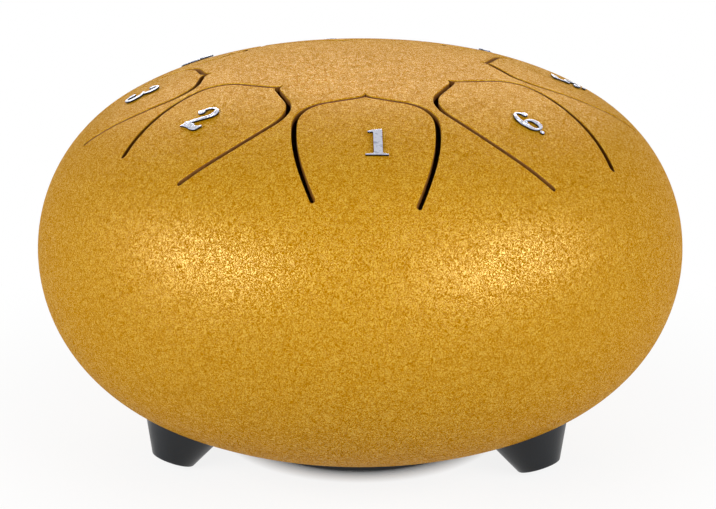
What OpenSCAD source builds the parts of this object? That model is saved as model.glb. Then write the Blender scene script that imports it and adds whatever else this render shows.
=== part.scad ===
// Steel tongue drum: two pressed half shells, eight tongues, numerals, ring and feet.
// The axis of the drum is Z, the front is -Y, and the feet stand on the plane z = 0.

/* [Body] */
// Outside diameter of the drum body
body_d = 152; // [140:1:170]
// Thickness of the pressed steel
wall = 1.5; // [1.2:0.1:2]
// Radius of the rounded rim
rim_r = 38.45; // [36:0.05:41]
// Radius of the shoulder between the rim and the shallow crown
shoulder_r = 72; // [66:1:78]
// Angle from the axis at which the crown ends
crown_angle = 4.4; // [4:0.1:5]
// Angle from the axis at which the shoulder ends
shoulder_angle = 30.4; // [28:0.2:33]
// Depth of the weld groove at the rim
weld_depth = 1; // [0.7:0.1:1.2]
// Width of the weld groove at the outside of the rim
weld_w = 1.6; // [1:0.1:2.5]

/* [Tongues] */
// Distance from the drum's side in to the tongues' roots, for a tongue of share 1
tongue_edge = 12; // [10:0.5:14]
// Share of the radius to the roots that the plain middle of the drum takes up
middle_share = 0.439; // [0.4:0.001:0.48]
// Share of the tongues' pitch that is left as steel between the slots of even neighbours
bridge_share = 0.1463; // [0.14:0.0001:0.2]
// Angle between the hollow curves' ends and the middle line at the tip
tongue_tip_angle = 10; // [6:1:20]
// Width of the slots
slot_w = 1.15; // [0.8:0.05:1.4]
// Distance from a tongue's root to the line where it bends
bend_setback = 2.2; // [1.6:0.1:2.8]
// Gap that stands for the bending line
bend_gap = 0.06; // [0.04:0.01:0.1]

/* [Numerals] */
// Height of a numeral of share 1
numeral_h = 9; // [7:0.5:10]
// Thickness of the numerals and of the octave dots
numeral_t = 0.45; // [0.3:0.05:0.8]
// Thickness of the adhesive film under them
numeral_film = 0.06; // [0.04:0.01:0.1]
// Diameter of the octave dots
dot_d = 1.1; // [0.8:0.1:1.6]
// Gap between an octave dot and its numeral
dot_gap = 0.3; // [0.1:0.1:0.8]

/* [Sound hole] */
// Diameter of the hole in the lower shell
sound_hole_d = 50; // [46:1:54]
// Thickness of the ring within the hole
ring_t = 2.5; // [2:0.1:4]
// Width by which the ring's flange under the shell passes the hole
ring_flange_w = 5.6; // [4:0.1:7]
// Width by which the ring's lip inside the shell passes the hole
ring_lip_w = 2.5; // [2.3:0.1:4]
// Height that the ring stands out under the body
ring_drop = 2.4; // [1.5:0.1:2.6]
// Thickness of the ring's lip inside the shell
ring_lip_t = 1.6; // [1:0.1:2.5]
// Radius of the ring's rounded edges
ring_round = 0.8; // [0.3:0.1:1]

/* [Feet] */
// Share of the way from the ring to the drum's side at which a foot stands
foot_place_share = 0.348; // [0.3:0.002:0.4]
// Turn of the three feet about the axis
foot_turn = -2.6; // [-15:0.2:15]
// Diameter of a foot at the shell
foot_top_d = 18.8; // [17:0.2:20]
// Diameter of a foot at its lower end
foot_end_d = 10; // [9.8:0.1:12]
// Height of a foot along its own axis
foot_h = 8.6; // [8.2:0.2:12]
// Chamfer round a foot's lower end
foot_chamfer = 0.4; // [0.2:0.1:0.5]
// Depth of the flat that a foot stands on
foot_flat = 0.4; // [0.2:0.1:0.6]
// Height that a foot reaches up round the shell's curve
foot_skirt = 1.4; // [1.2:0.1:2]
// Gap between the shell and what is seated on it
seat_gap = 0.05; // [0.03:0.01:0.1]

/* [Fasteners] */
// Thread diameter of the foot screws
screw_d = 3; // [2.5:0.1:3.2]
// Diameter of the screw heads
screw_head_d = 5.6; // [5:0.1:6]
// Height of the screw heads
screw_head_h = 1.8; // [1.4:0.1:2]
// Width of the cross in the screw heads
screw_cross_w = 0.8; // [0.6:0.1:1]
// Length of the cross in the screw heads
screw_cross_l = 3; // [2.4:0.1:3.6]
// Depth of the cross in the screw heads
screw_cross_h = 1; // [0.6:0.1:1.2]
// Clearance round the screws in their holes
screw_play = 0.15; // [0.1:0.05:0.3]
// Clearance between a screw's thread and its nut
thread_play = 0.03; // [0.02:0.01:0.05]
// Depth of the recess in a foot for the screw head
foot_recess = 3.6; // [3:0.1:4]
// Clearance round a washer in the recess
recess_play = 0.1; // [0.05:0.05:0.3]
// Width by which a washer passes the screw head
washer_rim = 0.4; // [0.3:0.1:0.6]
// Thickness of the washers
washer_t = 0.5; // [0.3:0.1:0.8]
// Width of the nuts across their flats
nut_w = 5.5; // [5:0.1:6]
// Height of the nuts
nut_h = 2.4; // [2:0.1:3]
// Length of thread that shows past a nut
screw_end = 1; // [0.5:0.1:2]
// Gap between fasteners that are seated on each other
face_gap = 0.02; // [0.01:0.01:0.04]

/* [Hidden] */
$fn = 96;

// Finishes, as the photograph shows them
gold = "#C8900F";
chrome = "#C9C9D2";
black_rubber = "#141416";
zinc = "#B4B6B8";

// Tongues, numbered from the front and on to the right, seen from above
NOTE_1 = 0;
NOTE_LOW_6 = 1;
NOTE_LOW_5 = 2;
NOTE_HIGH_1 = 3;
NOTE_6 = 4;
NOTE_5 = 5;
NOTE_3 = 6;
NOTE_2 = 7;
NOTES = [NOTE_1, NOTE_LOW_6, NOTE_LOW_5, NOTE_HIGH_1, NOTE_6, NOTE_5, NOTE_3, NOTE_2];
tongue_angles = [1.3, 49.6, 97.6, 140.6, 188.6, 233.1, 273.4, 311.9];
// Turns of the tongues about their roots, as the photograph shows them
sway_angles = [-0.8, -2.9, -2, 1.1, 0, 0, 0, -4.1];

// Shares of a tongue's length: root to belly, belly to the corners' middle, root to the
// numeral's middle, and the radii of the corners and of the hollow curves at the tip
belly_share = 0.56;
corner_place_share = 0.0557;
numeral_place_share = 0.44;
corner_share = 0.259;
ogee_share = 0.103;
// Share of the belly's width that is left at the root
root_w_share = 0.672;
// Shares of the single tongues
root_shares = [1.001, 0.998, 1, 1.002, 0.995, 1, 1, 0.982];
length_shares = [1.059, 1.116, 1.002, 0.943, 1.051, 0.862, 0.837, 1.043];
width_shares = [1.042, 1.066, 0.955, 0.945, 1.01, 0.965, 0.876, 1.011];
// Shares of the way from the root to the bending line at which the slots on the +Y and the -Y
// side end
near_end_shares = [0.17, 0.12, 0, 0, 0, 0, 0, 0.58];
far_end_shares = [0.66, -0.25, 0, 0, 0, 0, 0, 0.51];
numeral_back_shares = [0.987, 0.981, 0.938, 0.909, 1, 0.884, 0.848, 1.024];
numeral_side_shares = [0.269, -0.029, 0.086, -0.126, 0.05, 0.029, -0.06, 0];
numeral_size_shares = [1, 0.82, 0.82, 0.85, 1, 0.97, 0.98, 1];

// Half profile of the body: crown, shoulder and rim arcs that run into each other.
// Neighbouring arcs cross by a hair, so that each joint is a clean corner and not a touch.
arc_cross_share = 0.000125;
arc_cross = body_d * arc_cross_share;
body_r = body_d / 2;
rim_x = body_r - rim_r;
shoulder_x = rim_x - (shoulder_r - rim_r + arc_cross) * sin(shoulder_angle);
shoulder_z = -(shoulder_r - rim_r + arc_cross) * cos(shoulder_angle);
crown_r = shoulder_r - arc_cross + shoulder_x / sin(crown_angle);
crown_z = shoulder_z - (crown_r - shoulder_r + arc_cross) * cos(crown_angle);
crown_h = crown_z + crown_r;
crown_end_x = crown_r * sin(crown_angle);
shoulder_end_x = shoulder_x + shoulder_r * sin(shoulder_angle);

// Tongues of share 1
tongue_root_r = body_r - tongue_edge;
tongue_l = tongue_root_r * (1 - middle_share);
tongue_pitch = 2 * (tongue_root_r - belly_share * tongue_l) * tan(180 / len(NOTES));
tongue_belly_w = tongue_pitch * (1 - bridge_share) - slot_w;

// Ring
ring_throat_d = sound_hole_d - 2 * ring_t;
ring_flange_d = sound_hole_d + 2 * ring_flange_w;
ring_lip_d = sound_hole_d + 2 * ring_lip_w;

// Feet: each stands square to the shell, on the flat at its lowest edge
foot_pitch_r = ring_flange_d / 2 + foot_place_share * (body_r - ring_flange_d / 2);
foot_lean = surface_lean(foot_pitch_r);
foot_seat_h = surface_z(foot_pitch_r);
washer_d = screw_head_d + 2 * washer_rim;
foot_recess_d = washer_d + 2 * recess_play;
foot_drop = foot_h * cos(foot_lean) + (foot_end_d / 2 - foot_chamfer) * sin(foot_lean);
equator_h = foot_seat_h + foot_drop - foot_flat;
FOOT_LEFT = 0;
FOOT_RIGHT = 1;
FOOT_REAR = 2;
foot_places = [-60, 60, 180];

// One overrun serves every cut
overrun = wall;

// Height of the shell's outside over the equator, at a radius within crown, shoulder or rim
function surface_z(r) =
    r < crown_end_x ? crown_z + sqrt(crown_r * crown_r - r * r) :
    r < shoulder_end_x ?
        shoulder_z + sqrt(shoulder_r * shoulder_r - (r - shoulder_x) * (r - shoulder_x)) :
        sqrt(rim_r * rim_r - (r - rim_x) * (r - rim_x));

// Angle between the axis and the shell's outward normal, at a radius
function surface_lean(r) =
    r < crown_end_x ? asin(r / crown_r) :
    r < shoulder_end_x ? asin((r - shoulder_x) / shoulder_r) :
        asin((r - rim_x) / rim_r);

// Upper half profile, filled, at an offset from the outside
module profile_fill(high) {
    intersection() {
        translate([0, crown_z])
        circle(r = crown_r + high);
        square([crown_end_x, body_r]);
    }
    intersection() {
        translate([shoulder_x, shoulder_z])
        circle(r = shoulder_r + high);
        square([shoulder_end_x, body_r]);
    }
    intersection() {
        translate([rim_x, 0])
        circle(r = rim_r + high);
        square([body_d, body_r]);
    }
}

// Layer of the upper half profile, between two offsets from the outside
module profile_layer(low, high) {
    difference() {
        profile_fill(high);
        profile_fill(low);
    }
}

// Groove at the rim that the weld fills
module weld_groove() {
    flare = (weld_depth + overrun) / weld_depth;
    polygon([
        [body_r - weld_depth, 0],
        [body_r + overrun, weld_w / 2 * flare],
        [body_r + overrun, -weld_w / 2 * flare]
    ]);
}

// Half shell, open at the equator, still without slots or holes
module half_shell() {
    rotate_extrude()
    difference() {
        profile_layer(-wall, 0);
        weld_groove();
    }
}

// Places what follows in the body's frame, whose origin is the middle of the equator
module at_equator() {
    translate([0, 0, equator_h])
    children();
}

// Turns what follows so that its X axis runs out through a tongue's root
module at_note(k) {
    at_equator()
    rotate([0, 0, tongue_angles[k] - 90])
    children();
}

// Turns what follows so that its X axis runs out along a tongue
module at_tongue(k) {
    at_note(k)
    translate([root_x(k), 0])
    rotate([0, 0, sway_angles[k]])
    translate([-root_x(k), 0])
    children();
}

// Outline of a tongue: side arc, corner arc, straight bridge and ogee arc on each side.
// Angles run from the side (+Y) towards the drum's axis (-X).
function side_dir(a) = [-sin(a), cos(a)];
function root_x(k) = tongue_root_r * root_shares[k];
function bend_x(k) = root_x(k) - bend_setback;
function slot_end_x(k, end_share) = root_x(k) - end_share * bend_setback - slot_w / 2;
function length(k) = tongue_l * length_shares[k];
function belly_x(k) = root_x(k) - belly_share * length(k);
function tip_x(k) = root_x(k) - length(k);
function root_y(k) = root_w_share * belly_y(k);
function belly_y(k) = tongue_belly_w / 2 * width_shares[k];
function side_r(k) =
    (pow(root_x(k) - belly_x(k), 2) + pow(belly_y(k) - root_y(k), 2)) / (2 * (belly_y(k) - root_y(k)));
function side_c(k) = [belly_x(k), belly_y(k) - side_r(k)];
function side_angle(k, x) = -asin((x - belly_x(k)) / side_r(k));
function corner_r(k) = corner_share * tongue_l * width_shares[k];
function corner_angle(k) = asin(corner_place_share * length(k) / (side_r(k) - corner_r(k)));
function corner_c(k) =
    side_c(k) + (side_r(k) - corner_r(k) + arc_cross) * side_dir(corner_angle(k));
function ogee_r(k) = ogee_share * tongue_l * width_shares[k];
function ogee_c(k) =
    [tip_x(k), 0] + (ogee_r(k) - slot_w / 2) * [-sin(tongue_tip_angle), cos(tongue_tip_angle)];
function bridge_angle(k) =
    let (way = ogee_c(k) - corner_c(k))
    atan2(-way[0], way[1]) - acos((corner_r(k) + ogee_r(k) - 2 * arc_cross) / norm(way));
function ogee_angle(k) = acos(ogee_c(k)[1] / ogee_r(k));

// Points along an arc of the outline
function arc_points(centre, r, from_angle, to_angle, count) =
    [for (i = [0:count]) centre + r * side_dir(from_angle + (to_angle - from_angle) * i / count)];

// Middle line of the slot on the +Y side, from a place near its end to the tip
function half_outline(k, x) = concat(
    arc_points(side_c(k), side_r(k), side_angle(k, x), corner_angle(k), 6),
    arc_points(corner_c(k), corner_r(k), corner_angle(k), bridge_angle(k), 6),
    arc_points(ogee_c(k), -ogee_r(k), bridge_angle(k), ogee_angle(k), 4)
);

// Area inside the slots' middle line, as far out as x
module tongue_area(k, x) {
    side = half_outline(k, x);
    polygon(concat(side, [for (i = [len(side) - 2:-1:0]) [side[i][0], -side[i][1]]]));
}

// Part of a slot that follows an arc; its ends lap over the neighbouring parts
module slot_arc(c, r, from_angle, to_angle) {
    lap = slot_w / 2 / r * 180 / PI;
    start = side_dir(from_angle - lap);
    end = side_dir(to_angle + lap);
    half = (to_angle - from_angle) / 2;
    corner = side_dir(from_angle + half) / cos(half + lap);
    inner_r = r - slot_w;
    outer_r = r + slot_w;
    translate(c)
    intersection() {
        difference() {
            circle(r = r + slot_w / 2);
            circle(r = r - slot_w / 2);
        }
        polygon([inner_r * start, outer_r * start, outer_r * corner, outer_r * end, inner_r * end]);
    }
}

// Slot on the +Y side, in plan; its end laps by half its width like the parts of the slot
module half_slot(k, end_share) {
    bridge_dir = side_dir(bridge_angle(k));
    start = corner_c(k) + (corner_r(k) - arc_cross) * bridge_dir;
    end = ogee_c(k) - (ogee_r(k) - arc_cross) * bridge_dir;
    slot_arc(side_c(k), side_r(k), side_angle(k, slot_end_x(k, end_share)), corner_angle(k));
    slot_arc(corner_c(k), corner_r(k), corner_angle(k), bridge_angle(k));
    translate((start + end) / 2)
    rotate([0, 0, bridge_angle(k)])
    square([norm(end - start) + slot_w / 2, slot_w], center = true);
    intersection() {
        slot_arc(ogee_c(k), ogee_r(k), 180, 180 + bridge_angle(k));
        translate([ogee_c(k)[0], 0])
        square([2 * ogee_r(k), ogee_r(k)]);
    }
}

// Both slots of a tongue, in plan
module slots(k) {
    half_slot(k, near_end_shares[k]);
    mirror([0, 1])
    half_slot(k, far_end_shares[k]);
}

// Upright block over a plan shape, through the upper half
module upper_block() {
    translate([0, 0, -overrun])
    linear_extrude(height = crown_h + 2 * overrun)
    children();
}

module upper_shell() {
    color(gold)
    difference() {
        at_equator()
        half_shell();
        for (k = NOTES)
            at_tongue(k)
            upper_block() {
                slots(k);
                tongue_area(k, bend_x(k) + bend_gap / 2);
            }
    }
}

module tongue(k) {
    color(gold)
    difference() {
        intersection() {
            at_equator()
            half_shell();
            at_tongue(k)
            upper_block()
            tongue_area(k, bend_x(k) - bend_gap / 2);
        }
        at_tongue(k)
        upper_block()
        slots(k);
    }
}

module lower_shell() {
    color(gold)
    difference() {
        at_equator()
        mirror([0, 0, 1])
        half_shell();
        translate([0, 0, -overrun])
        cylinder(d = sound_hole_d, h = equator_h);
        for (k = [FOOT_LEFT, FOOT_RIGHT, FOOT_REAR])
            at_foot(k)
            translate([0, 0, -wall - overrun])
            cylinder(d = screw_d + 2 * screw_play, h = wall + 2 * overrun);
    }
}

module seam_weld() {
    color(gold)
    at_equator()
    rotate_extrude($fn = 240)
    intersection() {
        union() {
            profile_layer(-wall, 0);
            mirror([0, 1])
            profile_layer(-wall, 0);
        }
        weld_groove();
    }
}

// Stroke of a numeral: part of an ellipse that is heavy on one side and fine elsewhere
function stroke_width(a, fine, heavy, side) =
    fine + (heavy - fine) * pow(max(0, side * cos(a)), 2);
function stroke_edge(c, r, a, w) = c + [(r[0] + w) * cos(a), (r[1] + w) * sin(a)];
function stroke_points(c, r, from_angle, to_angle, fine, heavy, side, sign, count) =
    [for (i = [0:count])
        let (a = from_angle + (to_angle - from_angle) * i / count)
        stroke_edge(c, r, a, sign * stroke_width(a, fine, heavy, side) / 2)];
function turned(points) = [for (i = [len(points) - 1:-1:0]) points[i]];

module stroke(h, c, r, from_angle, to_angle, fine, heavy, side) {
    outer = stroke_points(c, r, from_angle, to_angle, fine, heavy, side, 1, 12);
    inner = stroke_points(c, r, from_angle, to_angle, fine, heavy, side, -1, 12);
    polygon(h * concat(outer, turned(inner)));
}

module ball(h, c, r_share) {
    translate(h * c)
    circle(r = h * r_share);
}

// Numerals stand on the X axis; every place is a share of the height
one_shares = [
    [-0.28, 0], [0.28, 0], [0.28, 0.045], [0.14, 0.07], [0.14, 1], [0.02, 0.98], [-0.08, 0.96],
    [-0.21, 0.915], [-0.21, 0.865], [-0.08, 0.875], [-0.08, 0.07], [-0.28, 0.045]
];
two_leg_shares = [
    [0.1, 0.68], [0.033, 0.59], [-0.087, 0.43], [-0.22, 0.262], [-0.287, 0.19], [-0.287, 0.14],
    [-0.15, 0.2], [-0.087, 0.254], [0.02, 0.37], [0.18, 0.56], [0.24, 0.64]
];
two_foot_shares = [
    [-0.31, 0], [-0.2, 0.025], [-0.08, 0.02], [0.06, -0.01], [0.18, -0.005], [0.26, 0.04],
    [0.31, 0.22], [0.27, 0.25], [0.22, 0.19], [0.12, 0.17], [0, 0.21], [-0.12, 0.23], [-0.27, 0.16]
];
three_bar_shares = [[-0.14, 0.515], [0.02, 0.5], [0.02, 0.59], [-0.14, 0.575]];
five_flag_shares = [
    [-0.24, 0.44], [-0.185, 0.44], [-0.17, 0.84], [0.2, 0.84], [0.26, 1], [-0.22, 1]
];

module glyph_1(h) {
    polygon(h * one_shares);
}

module glyph_2(h) {
    ball(h, [-0.235, 0.69], 0.095);
    stroke(h, [-0.025, 0.735], [0.205, 0.225], -25, 185, 0.07, 0.165, 1);
    polygon(h * two_leg_shares);
    polygon(h * two_foot_shares);
}

module glyph_3(h) {
    ball(h, [-0.19, 0.8], 0.09);
    ball(h, [-0.225, 0.215], 0.1);
    stroke(h, [-0.02, 0.76], [0.175, 0.205], -90, 190, 0.07, 0.165, 1);
    stroke(h, [-0.03, 0.285], [0.215, 0.25], -175, 90, 0.07, 0.18, 1);
    polygon(h * three_bar_shares);
}

module glyph_5(h) {
    ball(h, [-0.22, 0.21], 0.1);
    stroke(h, [-0.02, 0.3], [0.22, 0.265], -175, 145, 0.07, 0.18, 1);
    polygon(h * five_flag_shares);
}

module glyph_6(h) {
    ball(h, [0.235, 0.8], 0.1);
    stroke(h, [0.02, 0.5], [0.255, 0.465], 40, 225, 0.07, 0.19, -1);
    stroke(h, [0.03, 0.285], [0.225, 0.245], -100, 100, 0.08, 0.18, 1);
    stroke(h, [0.03, 0.285], [0.225, 0.245], 80, 280, 0.08, 0.17, -1);
}

module glyph(k, h) {
    if (k == NOTE_1 || k == NOTE_HIGH_1) glyph_1(h);
    if (k == NOTE_2) glyph_2(h);
    if (k == NOTE_3) glyph_3(h);
    if (k == NOTE_5 || k == NOTE_LOW_5) glyph_5(h);
    if (k == NOTE_6 || k == NOTE_LOW_6) glyph_6(h);
}

// Place of a numeral's middle, out along its tongue and to the side
function numeral_x(k) = root_x(k) - numeral_place_share * tongue_l * numeral_back_shares[k];
function numeral_y(k) = numeral_h * numeral_side_shares[k];
function glyph_h(k) = numeral_h * numeral_size_shares[k];

// Lays a flat shape on a tongue, its top towards the drum's axis, and gives it its thickness
module on_tongue(k) {
    x = numeral_x(k);
    y = numeral_y(k);
    reach = numeral_h / 3;
    intersection() {
        at_equator()
        rotate_extrude()
        profile_layer(numeral_film, numeral_film + numeral_t);
        at_note(k)
        translate([x, y, surface_z(norm([x, y]))])
        rotate([0, surface_lean(x), 0])
        rotate([0, 0, 90])
        translate([0, 0, -reach])
        linear_extrude(height = 2 * reach)
        children();
    }
}

module numeral(k) {
    h = glyph_h(k);
    color(chrome)
    on_tongue(k)
    translate([0, -h / 2])
    glyph(k, h);
}

// Dot over (1) or under (-1) a numeral
module octave_dot(k, side) {
    color(chrome)
    on_tongue(k)
    translate([0, side * (glyph_h(k) / 2 + dot_gap + dot_d / 2)])
    circle(d = dot_d, $fn = 48);
}

module sound_hole_ring() {
    low = crown_h + ring_drop;
    high = surface_z(ring_lip_d / 2) - wall - ring_lip_t;
    color(black_rubber)
    at_equator()
    mirror([0, 0, 1])
    rotate_extrude()
    difference() {
        rounded_block(ring_throat_d / 2, ring_flange_d / 2, high, low, ring_round);
        intersection() {
            profile_layer(-wall - seat_gap, seat_gap);
            translate([sound_hole_d / 2 - seat_gap, 0])
            square([body_r, body_r]);
        }
        translate([ring_lip_d / 2, high - overrun])
        square([ring_flange_d, surface_z(ring_lip_d / 2) - high + overrun - wall / 2]);
    }
}

// Rectangle from x1 to x2 and from z1 to z2 with four rounded corners
module rounded_block(x1, x2, z1, z2, r) {
    translate([x1 + r, z1])
    square([x2 - x1 - 2 * r, z2 - z1]);
    translate([x1, z1 + r])
    square([x2 - x1, z2 - z1 - 2 * r]);
    for (x = [x1 + r, x2 - r], z = [z1 + r, z2 - r])
        translate([x, z])
        circle(r = r);
}

// Places what follows on a foot's axis: the origin is on the shell, and Z points out of it
module at_foot(k) {
    at_equator()
    rotate([0, 0, foot_places[k] + foot_turn - 90])
    translate([foot_pitch_r, 0, -foot_seat_h])
    rotate([0, 180 - foot_lean, 0])
    children();
}

// Heights along a foot's axis
recess_z = foot_h - foot_recess;
head_z = recess_z + washer_t + 2 * face_gap;
inner_washer_z = -wall - seat_gap - washer_d * washer_d / 8 / shoulder_r;
nut_z = inner_washer_z - washer_t - face_gap;
screw_tip_z = nut_z - nut_h - screw_end;

module foot(k) {
    grow = (foot_top_d - foot_end_d) / 2 * foot_skirt / foot_h;
    end_r = foot_end_d / 2;
    side = (foot_top_d - foot_end_d) / 2 * foot_chamfer / foot_h;
    color(black_rubber)
    difference() {
        at_foot(k)
        difference() {
            rotate_extrude()
            polygon([
                [0, -foot_skirt],
                [foot_top_d / 2 + grow, -foot_skirt],
                [end_r + side, foot_h - foot_chamfer],
                [end_r - foot_chamfer, foot_h],
                [0, foot_h]
            ]);
            translate([0, 0, -foot_skirt - overrun])
            cylinder(d = screw_d + 2 * screw_play, h = foot_h + foot_skirt + 2 * overrun);
            translate([0, 0, recess_z])
            cylinder(d = foot_recess_d, h = foot_recess + overrun);
        }
        at_equator()
        mirror([0, 0, 1])
        rotate_extrude()
        profile_layer(-2 * wall, seat_gap);
        translate([-body_r, -body_r, -foot_h])
        cube([body_d, body_d, foot_h]);
    }
}

module washer() {
    difference() {
        cylinder(d = washer_d, h = washer_t);
        translate([0, 0, -overrun])
        cylinder(d = screw_d + 2 * screw_play, h = washer_t + 2 * overrun);
    }
}

module foot_washer(k) {
    color(zinc)
    at_foot(k)
    translate([0, 0, recess_z + face_gap])
    washer();
}

module foot_screw(k) {
    color(zinc)
    at_foot(k)
    difference() {
        union() {
            translate([0, 0, head_z])
            cylinder(d1 = screw_head_d, d2 = screw_head_d - screw_head_h / 2, h = screw_head_h);
            translate([0, 0, screw_tip_z])
            cylinder(d = screw_d, h = head_z + screw_head_h / 2 - screw_tip_z);
        }
        for (a = [0, 90])
            rotate([0, 0, a])
            translate([-screw_cross_l / 2, -screw_cross_w / 2, head_z + screw_head_h - screw_cross_h])
            cube([screw_cross_l, screw_cross_w, screw_cross_h + overrun]);
    }
}

module inner_washer(k) {
    color(zinc)
    at_foot(k)
    translate([0, 0, inner_washer_z - washer_t])
    washer();
}

module foot_nut(k) {
    color(zinc)
    at_foot(k)
    translate([0, 0, nut_z - nut_h])
    difference() {
        cylinder(d = nut_w / cos(30), h = nut_h, $fn = 6);
        translate([0, 0, -overrun])
        cylinder(d = screw_d + 2 * thread_play, h = nut_h + 2 * overrun);
    }
}

upper_shell();
lower_shell();
seam_weld();
tongue(NOTE_1);  // tongue_1
tongue(NOTE_2);  // tongue_2
tongue(NOTE_3);  // tongue_3
tongue(NOTE_5);  // tongue_5
tongue(NOTE_6);  // tongue_6
tongue(NOTE_LOW_5);  // tongue_low_5
tongue(NOTE_LOW_6);  // tongue_low_6
tongue(NOTE_HIGH_1);  // tongue_high_1
numeral(NOTE_1);  // numeral_1
numeral(NOTE_2);  // numeral_2
numeral(NOTE_3);  // numeral_3
numeral(NOTE_5);  // numeral_5
numeral(NOTE_6);  // numeral_6
numeral(NOTE_LOW_5);  // numeral_low_5
numeral(NOTE_LOW_6);  // numeral_low_6
numeral(NOTE_HIGH_1);  // numeral_high_1
octave_dot(NOTE_LOW_5, -1);  // dot_low_5
octave_dot(NOTE_LOW_6, -1);  // dot_low_6
octave_dot(NOTE_HIGH_1, 1);  // dot_high_1
sound_hole_ring();
foot(FOOT_LEFT);  // foot_left
foot(FOOT_RIGHT);  // foot_right
foot(FOOT_REAR);  // foot_rear
foot_washer(FOOT_LEFT);  // foot_washer_left
foot_washer(FOOT_RIGHT);  // foot_washer_right
foot_washer(FOOT_REAR);  // foot_washer_rear
foot_screw(FOOT_LEFT);  // foot_screw_left
foot_screw(FOOT_RIGHT);  // foot_screw_right
foot_screw(FOOT_REAR);  // foot_screw_rear
inner_washer(FOOT_LEFT);  // inner_washer_left
inner_washer(FOOT_RIGHT);  // inner_washer_right
inner_washer(FOOT_REAR);  // inner_washer_rear
foot_nut(FOOT_LEFT);  // foot_nut_left
foot_nut(FOOT_RIGHT);  // foot_nut_right
foot_nut(FOOT_REAR);  // foot_nut_rear
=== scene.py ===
"""Steel tongue drum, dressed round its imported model.

Lengths are in millimetres until a mesh is made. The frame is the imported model's: Z up, the front
towards -Y, the feet on the plane z = 0.
"""

import logging
import math
from dataclasses import dataclass, field
from enum import Enum, IntEnum
from typing import NamedTuple

import bpy
import numpy as np
from mathutils import Matrix, Vector
from mathutils.geometry import delaunay_2d_cdt


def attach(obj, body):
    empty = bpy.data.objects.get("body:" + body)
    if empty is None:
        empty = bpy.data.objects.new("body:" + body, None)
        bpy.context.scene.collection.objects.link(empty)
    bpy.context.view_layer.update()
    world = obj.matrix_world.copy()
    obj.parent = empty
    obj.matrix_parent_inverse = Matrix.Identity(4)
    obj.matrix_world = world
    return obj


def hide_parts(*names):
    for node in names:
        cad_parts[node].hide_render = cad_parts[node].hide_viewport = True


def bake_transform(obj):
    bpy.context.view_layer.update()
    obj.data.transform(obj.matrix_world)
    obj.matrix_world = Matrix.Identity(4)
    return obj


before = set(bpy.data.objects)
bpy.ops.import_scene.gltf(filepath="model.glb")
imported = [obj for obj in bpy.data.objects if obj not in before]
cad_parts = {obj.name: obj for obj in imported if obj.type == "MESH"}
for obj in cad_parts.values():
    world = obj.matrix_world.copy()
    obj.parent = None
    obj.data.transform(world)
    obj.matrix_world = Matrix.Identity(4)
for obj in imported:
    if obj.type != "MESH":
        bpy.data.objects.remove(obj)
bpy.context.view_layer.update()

MM = 0.001
# The photograph is 716 pixels wide and 509 high
IMAGE_W = 716
TINY = 1e-9
WHITE = (1.0, 1.0, 1.0, 1.0)
# The Mix node's two colour inputs, and its colour output
MIX_A, MIX_B, MIX_OUT = 6, 7, 2

log = logging.getLogger("drum")


class Slot(Enum):
    """Material slots of the record, by name."""

    PAINTED_STEEL = "painted_steel"
    CHROME_PLATE = "chrome_plate"
    BLACK_RUBBER = "black_rubber"


class Side(IntEnum):
    """The two materials of a coated sheet, in the order in which its mesh has them."""

    OUTSIDE = 0
    INSIDE = 1


class SlotEnd(Enum):
    """Round ends of a tongue's slot: the near one on the tongue's +Y side, the far one on -Y."""

    NEAR = "near"
    FAR = "far"


def linear(hex_colour: str) -> tuple[float, float, float, float]:
    """Turns an sRGB hex colour to a linear RGBA value.

    Args:
        hex_colour: A colour such as "#C8900F".

    Returns:
        Red, green, blue and alpha, from 0 to 1.
    """
    parts = [int(hex_colour[i : i + 2], 16) / 255 for i in (1, 3, 5)]
    rgb = [p / 12.92 if p <= 0.04045 else ((p + 0.055) / 1.055) ** 2.4 for p in parts]
    return (rgb[0], rgb[1], rgb[2], 1.0)


def put(
    tree: bpy.types.NodeTree, kind: str, fill: dict | None = None, **settings: str
) -> bpy.types.Node:
    """Adds a shader node with its settings and links.

    Args:
        tree: The node tree to add to.
        kind: The node's type without its ShaderNode prefix.
        fill: Socket name or number to a value, or to the socket that is linked to it.
        settings: Properties of the node.

    Returns:
        The new node.
    """
    node = tree.nodes.new("ShaderNode" + kind)
    for name, value in settings.items():
        setattr(node, name, value)
    for key, value in (fill or {}).items():
        socket = node.inputs[key]
        if isinstance(value, bpy.types.NodeSocket):
            tree.links.new(value, socket)
        else:
            socket.default_value = value
    return node


def blank_material(name: str) -> tuple[bpy.types.Material, bpy.types.NodeTree]:
    """Makes a material with an empty node tree.

    Args:
        name: The material's name.

    Returns:
        The material and its tree.
    """
    material = bpy.data.materials.new(name)
    material.use_nodes = True
    material.node_tree.nodes.clear()
    return material, material.node_tree


def object_mm(tree: bpy.types.NodeTree) -> bpy.types.NodeSocket:
    """Returns the object's own coordinates in millimetres."""
    place = put(tree, "TexCoord").outputs["Object"]
    return put(tree, "VectorMath", {0: place, "Scale": 1 / MM}, operation="SCALE").outputs[0]


def added(name: str, data: bpy.types.ID) -> bpy.types.Object:
    """Adds an object to the scene.

    Args:
        name: The object's name.
        data: Its mesh, lamp or camera.

    Returns:
        The new object.
    """
    thing = bpy.data.objects.new(name, data)
    bpy.context.scene.collection.objects.link(thing)
    return thing


@dataclass(frozen=True)
class Finish:
    """A finish that one Principled shader shows."""

    name: str = "finish"

    def sockets(self, tree: bpy.types.NodeTree, place: bpy.types.NodeSocket) -> dict:
        """Lays out the patterns, and returns the shader's values and links by socket name."""
        raise NotImplementedError

    def material(self) -> bpy.types.Material:
        """Builds the material.

        Returns:
            The finished material.
        """
        material, tree = blank_material(self.name)
        shader = put(tree, "BsdfPrincipled", self.sockets(tree, object_mm(tree)))
        put(tree, "OutputMaterial", {"Surface": shader.outputs[0]})
        return material


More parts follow.
